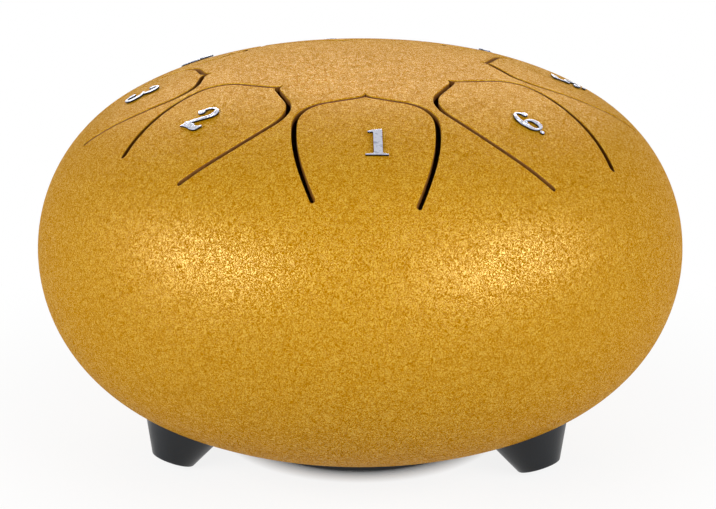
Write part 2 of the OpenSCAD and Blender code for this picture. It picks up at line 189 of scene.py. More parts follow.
@dataclass(frozen=True)
class WrinkleCoat(Finish):
    """Gold wrinkle powder coat on pressed steel, sprayed and baked."""

    # The baked film shrinks into fine wrinkles. Flat mica flakes in its clear top gleam pale where
    # they mirror a lamp, about as much at any angle, over a deep gold. The gold is painted lighter
    # on the ridges as a painted highlight, and darker in the hollows and creases as painted shade.
    name: str = "gold_wrinkle_powder_coat"
    base: str = "#A97300"
    # Painted shade in the hollows, and a painted highlight on the ridges
    shaded_hollow: str = "#9A6600"
    lit_ridge: str = "#D0A61C"
    edge_tint: str = "#FFD24A"
    metallic: float = 0.4
    roughness: float = 0.34
    # Titanium-coated mica has a high index, and lies bare on the ridges only
    flakes: float = 0.4
    flake_ior: float = 2.4
    flake_roughness: float = 0.26
    # The real wrinkles are 0.3 to 0.5 mm apart, and run between longer folds a few mm apart
    wrinkle_mm: float = 0.38
    fold_mm: float = 2.6
    mottle_mm: float = 3.2
    relief_mm: float = 0.02
    # The film creeps while it melts, which bends all its patterns a little
    creep_mm: float = 1.25
    creep_by_mm: float = 1.2
    # A ridge runs where the noise crosses its middle, and a crease along each fold's edge; both
    # have their half widths in the units of their patterns
    middle: float = 0.5
    ridge_half: float = 0.12
    fold_half: float = 0.06
    # A crease lies lower, so it takes more of the darker hollow colour, which is painted shade
    fold_depth: float = -0.28
    mottle_share: float = 0.2
    # Heights over which the painted shade of the hollows turns to base, base turns to the painted
    # highlight of the ridges, and the flakes set in
    shaded_hollow_span: tuple[float, float] = (-0.08, 0.47)
    lit_ridge_span: tuple[float, float] = (0.5, 1.17)
    flake_span: tuple[float, float] = (0.4, 1.17)

    def height(
        self, tree: bpy.types.NodeTree, bent: bpy.types.NodeSocket
    ) -> bpy.types.NodeSocket:
        """Lays out the relief: wrinkles, cut by the creases of the folds.

        Args:
            tree: The node tree to add to.
            bent: The crept coordinates in millimetres.

        Returns:
            The height, 1 on a ridge and 0 between ridges.
        """
        noise = put(
            tree, "TexNoise",
            {
                "Vector": bent, "Scale": 1 / self.wrinkle_mm, "Detail": 1.5, "Roughness": 0.6,
                "Distortion": 0.5,
            },
        ).outputs["Fac"]
        off = put(tree, "Math", {0: noise, 1: self.middle}, operation="SUBTRACT").outputs[0]
        off = put(tree, "Math", {0: off}, operation="ABSOLUTE").outputs[0]
        wrinkle = put(
            tree, "MapRange",
            {"Value": off, "From Max": self.ridge_half, "To Min": 1.0, "To Max": 0.0},
            interpolation_type="SMOOTHSTEP",
        ).outputs["Result"]
        cells = put(
            tree, "TexVoronoi", {"Vector": bent, "Scale": 1 / self.fold_mm},
            feature="DISTANCE_TO_EDGE",
        ).outputs["Distance"]
        fold = put(
            tree, "MapRange",
            {
                "Value": cells, "From Max": self.fold_half, "To Min": self.fold_depth,
                "To Max": 0.0,
            },
            interpolation_type="SMOOTHSTEP",
        ).outputs["Result"]
        return put(tree, "Math", {0: wrinkle, 1: fold}, operation="ADD").outputs[0]

    def sockets(self, tree: bpy.types.NodeTree, place: bpy.types.NodeSocket) -> dict:
        """Lays out the wrinkles, the gold with its painted shade and painted highlight, and the
        flakes.

        Args:
            tree: The node tree to add to.
            place: The object's coordinates in millimetres.

        Returns:
            The shader's values and links by socket name.
        """
        creep = put(
            tree, "TexNoise", {"Vector": place, "Scale": 1 / self.creep_mm, "Detail": 2.0}
        ).outputs["Color"]
        bent = put(
            tree, "VectorMath", {0: creep, 1: (self.creep_by_mm,) * 3, 2: place},
            operation="MULTIPLY_ADD",
        ).outputs[0]
        height = self.height(tree, bent)
        bump = put(
            tree, "Bump", {"Height": height, "Distance": self.relief_mm * MM}
        ).outputs["Normal"]
        mottle = put(
            tree, "TexNoise",
            {"Vector": bent, "Scale": 1 / self.mottle_mm, "Detail": 3.0, "Roughness": 0.6},
        ).outputs["Fac"]
        tall = put(
            tree, "Math", {0: mottle, 1: self.mottle_share, 2: height}, operation="MULTIPLY_ADD"
        ).outputs[0]
        low, high = (
            put(
                tree, "MapRange", {"Value": tall, "From Min": span[0], "From Max": span[1]}
            ).outputs["Result"]
            for span in (self.shaded_hollow_span, self.lit_ridge_span)
        )
        # Painted light and shade: by the relief's height, the gold is darker in hollows and creases
        # and lighter on ridges
        colour = put(
            tree, "Mix", {0: low, MIX_A: linear(self.shaded_hollow), MIX_B: linear(self.base)},
            data_type="RGBA",
        ).outputs[MIX_OUT]
        colour = put(
            tree, "Mix", {0: high, MIX_A: colour, MIX_B: linear(self.lit_ridge)}, data_type="RGBA"
        ).outputs[MIX_OUT]
        flakes = put(
            tree, "MapRange",
            {
                "Value": tall, "From Min": self.flake_span[0], "From Max": self.flake_span[1],
                "To Max": self.flakes,
            },
        ).outputs["Result"]
        metal = put(tree, "Math", {0: high, 1: self.metallic}, operation="MULTIPLY").outputs[0]
        return {
            "Base Color": colour, "Metallic": metal, "Roughness": self.roughness, "Normal": bump,
            "Specular IOR Level": 0.0, "Specular Tint": linear(self.edge_tint),
            "Coat Weight": flakes, "Coat IOR": self.flake_ior,
            "Coat Roughness": self.flake_roughness, "Coat Normal": bump,
        }


@dataclass(frozen=True)
class ShadedCoat(Finish):
    """Gold powder coat inside the drum and its slots, darkened to brown as painted shade."""

    # Painted shade: a dull, specked gold darkened to brown stands in for the shade in here
    name: str = "painted_shade_inside"
    base: str = "#966012"
    deep_shade: str = "#643A08"
    metallic: float = 0.2
    roughness: float = 0.6
    # Dry spray falls in specks of just under a millimetre
    speck_mm: float = 0.8
    relief_mm: float = 0.05

    def sockets(self, tree: bpy.types.NodeTree, place: bpy.types.NodeSocket) -> dict:
        """Lays out the specks.

        Args:
            tree: The node tree to add to.
            place: The object's coordinates in millimetres.

        Returns:
            The shader's values and links by socket name.
        """
        speck = put(
            tree, "TexNoise", {"Vector": place, "Scale": 1 / self.speck_mm, "Detail": 3.0}
        ).outputs["Fac"]
        colour = put(
            tree, "Mix", {0: speck, MIX_A: linear(self.deep_shade), MIX_B: linear(self.base)},
            data_type="RGBA",
        ).outputs[MIX_OUT]
        bump = put(
            tree, "Bump", {"Height": speck, "Distance": self.relief_mm * MM}
        ).outputs["Normal"]
        return {
            "Base Color": colour, "Metallic": self.metallic, "Roughness": self.roughness,
            "Normal": bump,
        }


@dataclass(frozen=True)
class ChromePlate(Finish):
    """Chrome plate on moulded ABS."""

    # The face is bright and cool, clouded a little, and rolls slightly like all plated plastic. The
    # steep walls are painted dark, a painted reflection of the dark gold beside them
    name: str = "chrome_plated_abs"
    face: str = "#C2C4CE"
    wall: str = "#484A54"
    cloud: str = "#A2A5B0"
    smooth: float = 0.08
    worn: float = 0.22
    # The face rolls about once over a stroke's width of 1 mm, and clouds over just more than that
    wave_mm: float = 0.9
    cloud_mm: float = 1.1
    relief_mm: float = 0.09
    wave_span: tuple[float, float] = (0.3, 0.7)
    cloud_span: tuple[float, float] = (0.5, 0.68)
    # The face lies on a slope of up to 40 degrees, and the walls stand well beyond that
    wall_span: tuple[float, float] = (0.35, 0.75)

    def sockets(self, tree: bpy.types.NodeTree, place: bpy.types.NodeSocket) -> dict:
        """Lays out the face, its clouds and the walls' painted reflection.

        Args:
            tree: The node tree to add to.
            place: The object's coordinates in millimetres.

        Returns:
            The shader's values and links by socket name.
        """
        wave = put(
            tree, "TexNoise", {"Vector": place, "Scale": 1 / self.wave_mm, "Detail": 1.0}
        ).outputs["Fac"]
        haze = put(
            tree, "TexNoise", {"Vector": place, "Scale": 1 / self.cloud_mm, "Detail": 2.0}
        ).outputs["Fac"]
        bump = put(
            tree, "Bump", {"Height": wave, "Distance": self.relief_mm * MM}
        ).outputs["Normal"]
        rough = put(
            tree, "MapRange",
            {
                "Value": wave, "From Min": self.wave_span[0], "From Max": self.wave_span[1],
                "To Min": self.smooth, "To Max": self.worn,
            },
        ).outputs["Result"]
        # Painted reflection: the steep walls are painted dark, as if they mirrored the dark gold
        # beside them
        normal = put(tree, "NewGeometry").outputs["True Normal"]
        up = put(tree, "SeparateXYZ", {0: normal}).outputs["Z"]
        flat, dull = (
            put(
                tree, "MapRange", {"Value": value, "From Min": span[0], "From Max": span[1]}
            ).outputs["Result"]
            for value, span in ((up, self.wall_span), (haze, self.cloud_span))
        )
        face = put(
            tree, "Mix", {0: dull, MIX_A: linear(self.face), MIX_B: linear(self.cloud)},
            data_type="RGBA",
        ).outputs[MIX_OUT]
        colour = put(
            tree, "Mix", {0: flat, MIX_A: linear(self.wall), MIX_B: face}, data_type="RGBA"
        ).outputs[MIX_OUT]
        return {"Base Color": colour, "Metallic": 1.0, "Roughness": rough, "Normal": bump}


@dataclass(frozen=True)
class MouldedRubber(Finish):
    """Black natural rubber, pressed in a polished mould."""

    # The polished mould leaves a soft broad shine over a faint grain, and a grey bloom in patches
    name: str = "moulded_black_rubber"
    base: str = "#0C0F12"
    bloom: str = "#181B20"
    gloss: float = 0.3
    smooth: float = 0.3
    dull: float = 0.44
    # The grain is really about 0.2 mm, and is drawn coarser so that it shows
    grain_mm: float = 0.45
    bloom_mm: float = 5.5555556
    relief_mm: float = 0.02
    bloom_span: tuple[float, float] = (0.3, 0.7)

    def sockets(self, tree: bpy.types.NodeTree, place: bpy.types.NodeSocket) -> dict:
        """Lays out the grain and the bloom.

        Args:
            tree: The node tree to add to.
            place: The object's coordinates in millimetres.

        Returns:
            The shader's values and links by socket name.
        """
        grain = put(
            tree, "TexNoise", {"Vector": place, "Scale": 1 / self.grain_mm, "Detail": 2.0}
        ).outputs["Fac"]
        patch = put(
            tree, "TexNoise", {"Vector": place, "Scale": 1 / self.bloom_mm, "Detail": 3.0}
        ).outputs["Fac"]
        colour = put(
            tree, "Mix", {0: patch, MIX_A: linear(self.base), MIX_B: linear(self.bloom)},
            data_type="RGBA",
        ).outputs[MIX_OUT]
        rough = put(
            tree, "MapRange",
            {
                "Value": patch, "From Min": self.bloom_span[0], "From Max": self.bloom_span[1],
                "To Min": self.smooth, "To Max": self.dull,
            },
        ).outputs["Result"]
        bump = put(
            tree, "Bump", {"Height": grain, "Distance": self.relief_mm * MM}
        ).outputs["Normal"]
        return {
            "Base Color": colour, "Roughness": rough, "Specular IOR Level": self.gloss,
            "Normal": bump,
        }


@dataclass(frozen=True)
class ZincPlate(Finish):
    """Zinc plate on turned and pressed steel, passivated."""

    # The passivated zinc is a bluish grey metal with a faint yellow cast in clouds
    name: str = "zinc_plated_steel"
    base: str = "#B2B6BC"
    cast: str = "#C2BCA4"
    smooth: float = 0.26
    dull: float = 0.44
    # The plate's grain is far finer than 0.1 mm, and is drawn coarser so that it shows
    grain_mm: float = 0.16666667
    cloud_mm: float = 1.4285714
    relief_mm: float = 0.01
    grain_span: tuple[float, float] = (0.2, 0.8)

    def sockets(self, tree: bpy.types.NodeTree, place: bpy.types.NodeSocket) -> dict:
        """Lays out the clouds and the grain.

        Args:
            tree: The node tree to add to.
            place: The object's coordinates in millimetres.

        Returns:
            The shader's values and links by socket name.
        """
        cloud = put(
            tree, "TexNoise", {"Vector": place, "Scale": 1 / self.cloud_mm, "Detail": 3.0}
        ).outputs["Fac"]
        grain = put(
            tree, "TexNoise", {"Vector": place, "Scale": 1 / self.grain_mm, "Detail": 1.0}
        ).outputs["Fac"]
        colour = put(
            tree, "Mix", {0: cloud, MIX_A: linear(self.base), MIX_B: linear(self.cast)},
            data_type="RGBA",
        ).outputs[MIX_OUT]
        rough = put(
            tree, "MapRange",
            {
                "Value": grain, "From Min": self.grain_span[0], "From Max": self.grain_span[1],
                "To Min": self.smooth, "To Max": self.dull,
            },
        ).outputs["Result"]
        bump = put(
            tree, "Bump", {"Height": grain, "Distance": self.relief_mm * MM}
        ).outputs["Normal"]
        return {"Base Color": colour, "Metallic": 1.0, "Roughness": rough, "Normal": bump}


@dataclass
class Draft:
    """Points, normals and faces of one piece, gathered in millimetres."""

    points: list[np.ndarray] = field(default_factory=list)
    normals: list[np.ndarray] = field(default_factory=list)
    faces: list[list[int]] = field(default_factory=list)
    kinds: list[int] = field(default_factory=list)
    count: int = 0
    # Where a piece is shaded by its faces, edges that turn by more than this stay crisp
    crisp: float = math.radians(38)

    def add(self, points: np.ndarray, normals: np.ndarray) -> np.ndarray:
        """Adds points.

        Args:
            points: Places, one row each.
            normals: The surface's direction at each.

        Returns:
            Their numbers.
        """
        self.points.append(np.asarray(points, float).reshape(-1, 3))
        self.normals.append(np.asarray(normals, float).reshape(-1, 3))
        start = self.count
        self.count += len(self.points[-1])
        return np.arange(start, self.count)

    def face(self, ids: list[int], side: Side) -> None:
        """Adds one face with the material of a side."""
        self.faces.append([int(i) for i in ids])
        self.kinds.append(int(side))

    def strip(self, a: np.ndarray, b: np.ndarray, side: Side) -> None:
        """Joins two rings of points with quads.

        Args:
            a: The first ring.
            b: The second ring, with as many points.
            side: The side whose material the quads have.
        """
        n = len(a)
        for i in range(n):
            j = (i + 1) % n
            self.face([a[i], a[j], b[j], b[i]], side)

    def lathe(self, outline: list[tuple[float, float]], count: int) -> None:
        """Turns a closed outline about the Z axis.

        Args:
            outline: Radius and height of each corner, in order round the section.
            count: Points per ring.
        """
        turn = turns(count)
        rings = [self.add(circle(turn, r, h), circle(turn, r, h)) for r, h in outline]
        for a, b in zip(rings, rings[1:] + rings[:1]):
            self.strip(a, b, Side.OUTSIDE)

    def make(
        self, name: str, materials: list[bpy.types.Material], own_normals: bool = True
    ) -> bpy.types.Object:
        """Makes the object, in metres.

        Args:
            name: The piece's name.
            materials: Its materials, in the order of Side.
            own_normals: True to shade by the gathered normals, False to shade by the faces.

        Returns:
            The new object.
        """
        mesh = bpy.data.meshes.new(name)
        mesh.from_pydata((np.concatenate(self.points) * MM).tolist(), [], self.faces)
        mesh.update()
        for material in materials:
            mesh.materials.append(material)
        mesh.polygons.foreach_set("material_index", self.kinds)
        mesh.polygons.foreach_set("use_smooth", [True] * len(self.faces))
        if own_normals:
            mesh.normals_split_custom_set_from_vertices(np.concatenate(self.normals).tolist())
        else:
            mesh.set_sharp_from_angle(angle=self.crisp)
        log.info("%s: %d faces", name, len(self.faces))
        return added(name, mesh)


def turns(count: int) -> np.ndarray:
    """Returns the angles of the points of a ring."""
    return np.linspace(0, 2 * math.pi, count, endpoint=False)


def circle(turn: np.ndarray, radius: float, height: float) -> np.ndarray:
    """Returns the points at some angles on a level circle about the axis."""
    return np.stack([radius * np.cos(turn), radius * np.sin(turn), np.full(len(turn), height)], 1)


def inside(points: np.ndarray, loop: np.ndarray) -> np.ndarray:
    """Says which points lie within a closed outline.

    Args:
        points: Plan points, one row each.
        loop: The outline's points in order.

    Returns:
        True for each point within.
    """
    x, y = points[:, 0][:, None], points[:, 1][:, None]
    x0, y0 = loop[:, 0][None], loop[:, 1][None]
    x1, y1 = np.roll(loop[:, 0], -1)[None], np.roll(loop[:, 1], -1)[None]
    over = (y0 > y) != (y1 > y)
    cut = (x1 - x0) * (y - y0) / np.where(y1 == y0, TINY, y1 - y0) + x0
    return (np.sum(over & (x < cut), axis=1) % 2).astype(bool)


def within(points: np.ndarray, loops: list[np.ndarray]) -> np.ndarray:
    """Says which points lie within the first outline and outside the others.

    Args:
        points: Plan points, one row each.
        loops: The outlines.

    Returns:
        True for each such point.
    """
    keep = inside(points, loops[0])
    for loop in loops[1:]:
        keep &= ~inside(points, loop)
    return keep


def rounded(
    corners: list[tuple[float, float, float]], steps: int = 5
) -> list[tuple[float, float]]:
    """Rounds the corners of a closed outline.

    Args:
        corners: Radius, height and rounding of each corner.
        steps: Segments of each rounding.

    Returns:
        The outline's points.
    """
    out: list[tuple[float, float]] = []
    for i, (x, z, r) in enumerate(corners):
        if r <= 0:
            out.append((x, z))
            continue
        corner = np.array((x, z))
        a = np.array(corners[i - 1][:2]) - corner
        b = np.array(corners[(i + 1) % len(corners)][:2]) - corner
        a, b = a / np.linalg.norm(a), b / np.linalg.norm(b)
        half = math.acos(max(-1.0, min(1.0, float(a @ b)))) / 2
        reach = r / math.tan(half)
        middle = corner + (a + b) / np.linalg.norm(a + b) * (r / math.sin(half))
        start, end = corner + a * reach - middle, corner + b * reach - middle
        t0, t1 = math.atan2(start[1], start[0]), math.atan2(end[1], end[0])
        sweep = (t1 - t0 + math.pi) % (2 * math.pi) - math.pi
        for j in range(steps + 1):
            t = t0 + sweep * j / steps
            out.append((middle[0] + r * math.cos(t), middle[1] + r * math.sin(t)))
    return out


class Arc(NamedTuple):
    """One arc of the body's profile: its centre, its radius and the leans that it runs between."""

    x: float
    z: float
    r: float
    first: float
    last: float


@dataclass(frozen=True)
class BodyProfile:
    """Half profile of the pressed body: crown, shoulder and rim arcs that run into each other.

    A lean is the angle between the axis and the surface's normal.
    """

    body_d: float = 152.0
    wall: float = 1.5
    crown_r: float = 340.0104
    crown_lean: float = math.radians(4.4)
    shoulder_r: float = 72.0
    shoulder_lean: float = math.radians(30.4)
    crown_h: float = 43.8172
    equator_h: float = 47.529
    weld_w: float = 1.6
    weld_depth: float = 1.0

    @property
    def body_r(self) -> float:
        """Outside radius of the body."""
        return self.body_d / 2

    def arcs(self) -> list[Arc]:
        """Works out the arcs from the crown to the equator, before the heights shrink.

        Returns:
            Crown, shoulder and rim, with heights over the equator.
        """
        sa, ca = self.shoulder_lean, self.crown_lean
        shoulder_x = (self.crown_r - self.shoulder_r) * math.sin(ca)
        rim_r = (self.body_r - shoulder_x - self.shoulder_r * math.sin(sa)) / (1 - math.sin(sa))
        shoulder_z = -(self.shoulder_r - rim_r) * math.cos(sa)
        crown_z = shoulder_z - (self.crown_r - self.shoulder_r) * math.cos(ca)
        return [
            Arc(0.0, crown_z, self.crown_r, 0.0, ca),
            Arc(shoulder_x, shoulder_z, self.shoulder_r, ca, sa),
            Arc(self.body_r - rim_r, 0.0, rim_r, sa, math.pi / 2),
        ]

    @property
    def rim(self) -> Arc:
        """The arc that reaches the equator."""
        return self.arcs()[-1]

    @property
    def squash(self) -> float:
        """Share by which heights shrink, so that the crown is as high as the CAD's."""
        crown = self.arcs()[0]
        return self.crown_h / (crown.z + crown.r)

    @property
    def weld_lean(self) -> float:
        """Lean of the surface at the weld's edge."""
        return math.acos(self.weld_w / 2 / self.squash / self.rim.r)

    def over(self, plan: np.ndarray, depth: float = 0.0) -> tuple[np.ndarray, np.ndarray]:
        """Lifts plan points onto the upper half.

        Args:
            plan: Plan points, one row each.
            depth: Depth under the outside.

        Returns:
            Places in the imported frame, and the outward normals there.
        """
        radius = np.linalg.norm(plan, axis=1)
        height, lean = np.zeros_like(radius), np.zeros_like(radius)
        for arc in self.arcs():
            r = arc.r - depth
            hit = radius >= arc.x + r * math.sin(arc.first) - TINY
            offset = np.clip(radius - arc.x, 0, r)
            height = np.where(hit, arc.z + np.sqrt(r**2 - offset**2), height)
            lean = np.where(hit, np.arcsin(offset / r), lean)
        out = np.where(radius[:, None] > TINY, plan / np.maximum(radius, TINY)[:, None], 0.0)
        rise = np.cos(lean)[:, None]
        normals = np.concatenate([out * (np.sin(lean) * self.squash)[:, None], rise], 1)
        normals /= np.linalg.norm(normals, axis=1)[:, None]
        places = np.concatenate([plan, (height * self.squash + self.equator_h)[:, None]], 1)
        return places, normals

    def ring(
        self, draft: Draft, turn: np.ndarray, lean: float, depth: float = 0.0, half: int = 1
    ) -> np.ndarray:
        """Adds the ring of points at which the surface has a lean.

        Args:
            draft: The draft to add to.
            turn: Angles of the points about the axis.
            lean: The surface's lean.
            depth: Depth under the outside; the normals of the inside point the other way.
            half: 1 for the upper half, -1 for the lower one.

        Returns:
            The points' numbers.
        """
        arc = next(a for a in self.arcs() if lean <= a.last + TINY)
        radius = arc.x + (arc.r - depth) * math.sin(lean)
        height = (arc.z + (arc.r - depth) * math.cos(lean)) * self.squash
        normal = np.array((math.sin(lean) * self.squash, math.cos(lean)))
        out, up = normal / np.linalg.norm(normal) * (-1 if depth > 0 else 1)
        return draft.add(
            circle(turn, radius, self.equator_h + half * height), circle(turn, out, half * up)
        )

    def groove(self, draft: Draft, turn: np.ndarray) -> np.ndarray:
        """Adds the ring of points at the bottom of the weld's groove, and returns their numbers."""
        bottom = circle(turn, self.body_r - self.weld_depth, self.equator_h)
        return draft.add(bottom, circle(turn, 1.0, 0.0))


@dataclass(frozen=True)
class Edge:
    """A run of plan points along a cut, with the directions that point into the metal."""

    points: np.ndarray
    into: np.ndarray

    def mirrored(self) -> "Edge":
        """Returns the run on the tongue's other side, in the other order."""
        flip = np.array((1.0, -1.0))
        return Edge((self.points * flip)[::-1], (self.into * flip)[::-1])

    @staticmethod
    def joined(runs: list["Edge"]) -> "Edge":
        """Joins runs end to end."""
        points = np.concatenate([run.points for run in runs])
        return Edge(points, np.concatenate([run.into for run in runs]))


@dataclass(frozen=True)
class SlotArcs:
    """Arcs of a slot's middle line on the +Y side: centres, radii and the angles that part them."""

    side_c: np.ndarray
    side_r: float
    corner_c: np.ndarray
    corner_r: float
    corner_a: float
    bridge_a: float
    ogee_c: np.ndarray
    ogee_r: float
    bend_a: float
    near_a: float
    far_a: float

    def end_a(self, end: SlotEnd) -> float:
        """Returns the angle on the side arc at which the slot ends."""
        return self.near_a if end is SlotEnd.NEAR else self.far_a


@dataclass(frozen=True)
class TongueShape:
    """Outline of one tongue, with its X axis running out from the drum's axis."""

    # Name, place round the drum and turn about the root in degrees, and three shares of the sizes
    name: str
    angle: float
    sway: float
    root_share: float
    length_share: float
    width_share: float
    # How far each slot end stands back from the root, as a share of the bend's distance from it
    near_end: float = 0.0
    far_end: float = 0.0
    dot: bool = False
    root_r: float = 64.0
    length: float = 35.904
    root_w: float = 20.088
    belly_w: float = 29.893
    belly_l: float = 20.106
    corner_r0: float = 9.299
    corner_l: float = 2.0
    ogee_r0: float = 3.698
    tip_angle: float = math.radians(10)
    slot_w: float = 1.15
    bend_setback: float = 2.2
    tip_round: float = 0.12
    # Points on each stretch of a cut
    side_n: int = 30
    corner_n: int = 14
    shell_tip_n: int = 10
    tongue_tip_n: int = 8
    end_n: int = 9
    root_n: int = 3
    round_n: int = 6
    chord_n: int = 15
    # Neighbouring stretches share their end points, so points closer than this are one
    merge: float = 1e-4

    @property
    def body(self) -> str:
        """Name of the CAD body that the tongue moves with."""
        return "tongue_body_" + self.name

    @property
    def root_x(self) -> float:
        """Place of the tongue's root."""
        return self.root_r * self.root_share

    @property
    def bend_x(self) -> float:
        """Place of the line where the tongue bends."""
        return self.root_x - self.bend_setback

    def end_x(self, share: float) -> float:
        """Returns the middle of a slot's round end, which stands back from the root by a share."""
        return self.root_x - share * self.bend_setback - self.slot_w / 2

    @staticmethod
    def way(angle: float | np.ndarray) -> np.ndarray:
        """Returns the direction at an angle that runs from the side towards the drum's axis."""
        return np.stack([-np.sin(angle), np.cos(angle)], -1)

    def arcs(self) -> SlotArcs:
        """Works out the arcs of the slot's middle line.

        Returns:
            The arcs on the +Y side.
        """
        belly_x = self.root_x - self.belly_l * self.length_share
        tip_x = self.root_x - self.length * self.length_share
        root_y = self.root_w / 2 * self.width_share
        belly_y = self.belly_w / 2 * self.width_share
        across = belly_y - root_y
        side_r = ((self.root_x - belly_x) ** 2 + across**2) / (2 * across)
        side_c = np.array((belly_x, belly_y - side_r))
        corner_r = self.corner_r0 * self.width_share
        corner_a = math.asin(self.corner_l * self.length_share / (side_r - corner_r))
        corner_c = side_c + (side_r - corner_r) * self.way(corner_a)
        ogee_r = self.ogee_r0 * self.width_share
        ogee_c = np.array((tip_x, 0.0)) + (ogee_r - self.slot_w / 2) * self.way(self.tip_angle)
        gap = ogee_c - corner_c
        lean = math.acos((corner_r + ogee_r) / float(np.linalg.norm(gap)))
        bend_a, near_a, far_a = (
            -math.asin((x - belly_x) / side_r)
            for x in (self.bend_x, self.end_x(self.near_end), self.end_x(self.far_end))
        )
        return SlotArcs(
            side_c, side_r, corner_c, corner_r, corner_a, math.atan2(-gap[0], gap[1]) - lean,
            ogee_c, ogee_r, bend_a, near_a, far_a,
        )

    def beside(self, first: float, offset: float, gap: float, tip_n: int) -> Edge:
        """Lays out a line beside the slot's middle line on the +Y side, up to the tip.

        Args:
            first: The first angle on the side arc.
            offset: Distance from the middle line, towards the shell.
            gap: Distance from the tongue's own middle at which the line stops.
            tip_n: Points on the last arc.

        Returns:
            The line, with the directions towards the shell.
        """
        f = self.arcs()
        a = np.linspace(first, f.corner_a, self.side_n)
        b = np.linspace(f.corner_a, f.bridge_a, self.corner_n)[1:]
        reach = f.ogee_r - offset
        c = np.linspace(f.bridge_a, math.acos((f.ogee_c[1] - gap) / reach), tip_n)
        return Edge.joined([
            Edge(f.side_c + (f.side_r + offset) * self.way(a), self.way(a)),
            Edge(f.corner_c + (f.corner_r + offset) * self.way(b), self.way(b)),
            Edge(f.ogee_c - reach * self.way(c), self.way(c)),
        ])

    def outer_edge(self, end: SlotEnd) -> Edge:
        """Returns the shell's edge of the slot, from a slot end to the tip."""
        first = self.arcs().end_a(end)
        return self.beside(first, self.slot_w / 2, self.tip_round, self.shell_tip_n)

    def inner_edge(self) -> Edge:
        """Lays out the tongue's edge of the slot, from the bend to the tip.

        Returns:
            The edge. At its last point, the tip, the direction is longer, as in a mitre.
        """
        line = self.beside(self.arcs().bend_a, -self.slot_w / 2, 0.0, self.tongue_tip_n)
        into = -line.into
        into[-1] = (1.0 / abs(into[-1][0]), 0.0)
        return Edge(line.points, into)

    def slot_end(self, end: SlotEnd) -> Edge:
        """Lays out the round end of the slot, from the tongue's edge to the shell's.

        Args:
            end: The slot end.

        Returns:
            The edge, without its first and last points.
        """
        f = self.arcs()
        side = self.way(f.end_a(end))
        out = np.array((side[1], -side[0]))
        t = np.linspace(math.pi, 0, self.end_n)[1:-1, None]
        ways = np.cos(t) * side + np.sin(t) * out
        return Edge(f.side_c + f.side_r * side + self.slot_w / 2 * ways, ways)

    def root_edge(self, end: SlotEnd) -> Edge:
        """Lays out the shell's short edge beside the tongue's root.

        Args:
            end: The slot end up to which it runs.

        Returns:
            The edge, from the bend.
        """
        f = self.arcs()
        ways = self.way(np.linspace(f.bend_a, f.end_a(end), self.root_n))
        return Edge(f.side_c + (f.side_r - self.slot_w / 2) * ways, -ways)

    def tip_end(self) -> Edge:
        """Lays out the small rounding at the shell's side of the tip.

        Returns:
            The edge, without its first and last points.
        """
        line = self.outer_edge(SlotEnd.NEAR)
        point, way = line.points[-1], line.into[-1]
        radius = point[1] / way[1]
        first = math.atan2(way[1], way[0])
        t = np.linspace(first, 2 * math.pi - first, self.round_n)[1:-1]
        ways = np.stack([np.cos(t), np.sin(t)], 1)
        return Edge(np.array((point[0] - radius * way[0], 0.0)) + radius * ways, ways)

    def opening(self) -> Edge:
        """Lays out the opening in the shell round the tongue, counter-clockwise.

        Returns:
            The cut, from one end of the bending line to the other.
        """
        near, far = (
            [self.root_edge(end), self.slot_end(end), self.outer_edge(end)] for end in SlotEnd
        )
        cut = Edge.joined(near + [self.tip_end()] + [edge.mirrored() for edge in reversed(far)])
        steps = np.linalg.norm(np.diff(cut.points, axis=0), axis=1)
        keep = np.append(True, steps > self.merge)
        return Edge(cut.points[keep], cut.into[keep])

    def chord(self, margin: float) -> np.ndarray:
        """Lays out points on the bending line, from -Y to +Y, without its ends.

        Args:
            margin: Distance between the line's ends and the cuts.

        Returns:
            The points.
        """
        edge = self.root_edge(SlotEnd.NEAR)
        end = edge.points[0] + edge.into[0] * margin
        y = np.linspace(-end[1], end[1], self.chord_n)[1:-1]
        return np.stack([np.full(len(y), end[0]), y], 1)

    @staticmethod
    def turned(plan: np.ndarray, angle: float) -> np.ndarray:
        """Turns plan points or directions by an angle in degrees."""
        t = math.radians(angle)
        return plan @ np.array(((math.cos(t), math.sin(t)), (-math.sin(t), math.cos(t))))

    def places(self, plan: np.ndarray) -> np.ndarray:
        """Moves plan points from the tongue's frame to the drum's, turned about the root."""
        root = np.array((self.root_x, 0.0))
        return self.turned(self.turned(plan - root, self.sway) + root, self.angle - 90)

    def laid(self, edge: Edge) -> Edge:
        """Returns a run of the tongue's frame in the drum's."""
        into = self.turned(edge.into, self.angle + self.sway - 90)
        return Edge(self.places(edge.points), into)


TONGUES = (
    TongueShape("1", 1.3, -0.8, 1.001, 1.059, 1.042, near_end=0.17, far_end=0.66),
    TongueShape("low_6", 49.6, -2.9, 0.998, 1.116, 1.066, near_end=0.12, far_end=-0.25, dot=True),
    TongueShape("low_5", 97.6, -2.0, 1.0, 1.002, 0.955, dot=True),
    TongueShape("high_1", 140.6, 1.1, 1.002, 0.943, 0.945, dot=True),
    TongueShape("6", 188.6, 0.0, 0.995, 1.051, 1.01),
    TongueShape("5", 233.1, 0.0, 1.0, 0.862, 0.965),
    TongueShape("3", 273.4, 0.0, 1.0, 0.837, 0.876),
    TongueShape("2", 311.9, -4.1, 0.982, 1.043, 1.011, near_end=0.58, far_end=0.51),
)


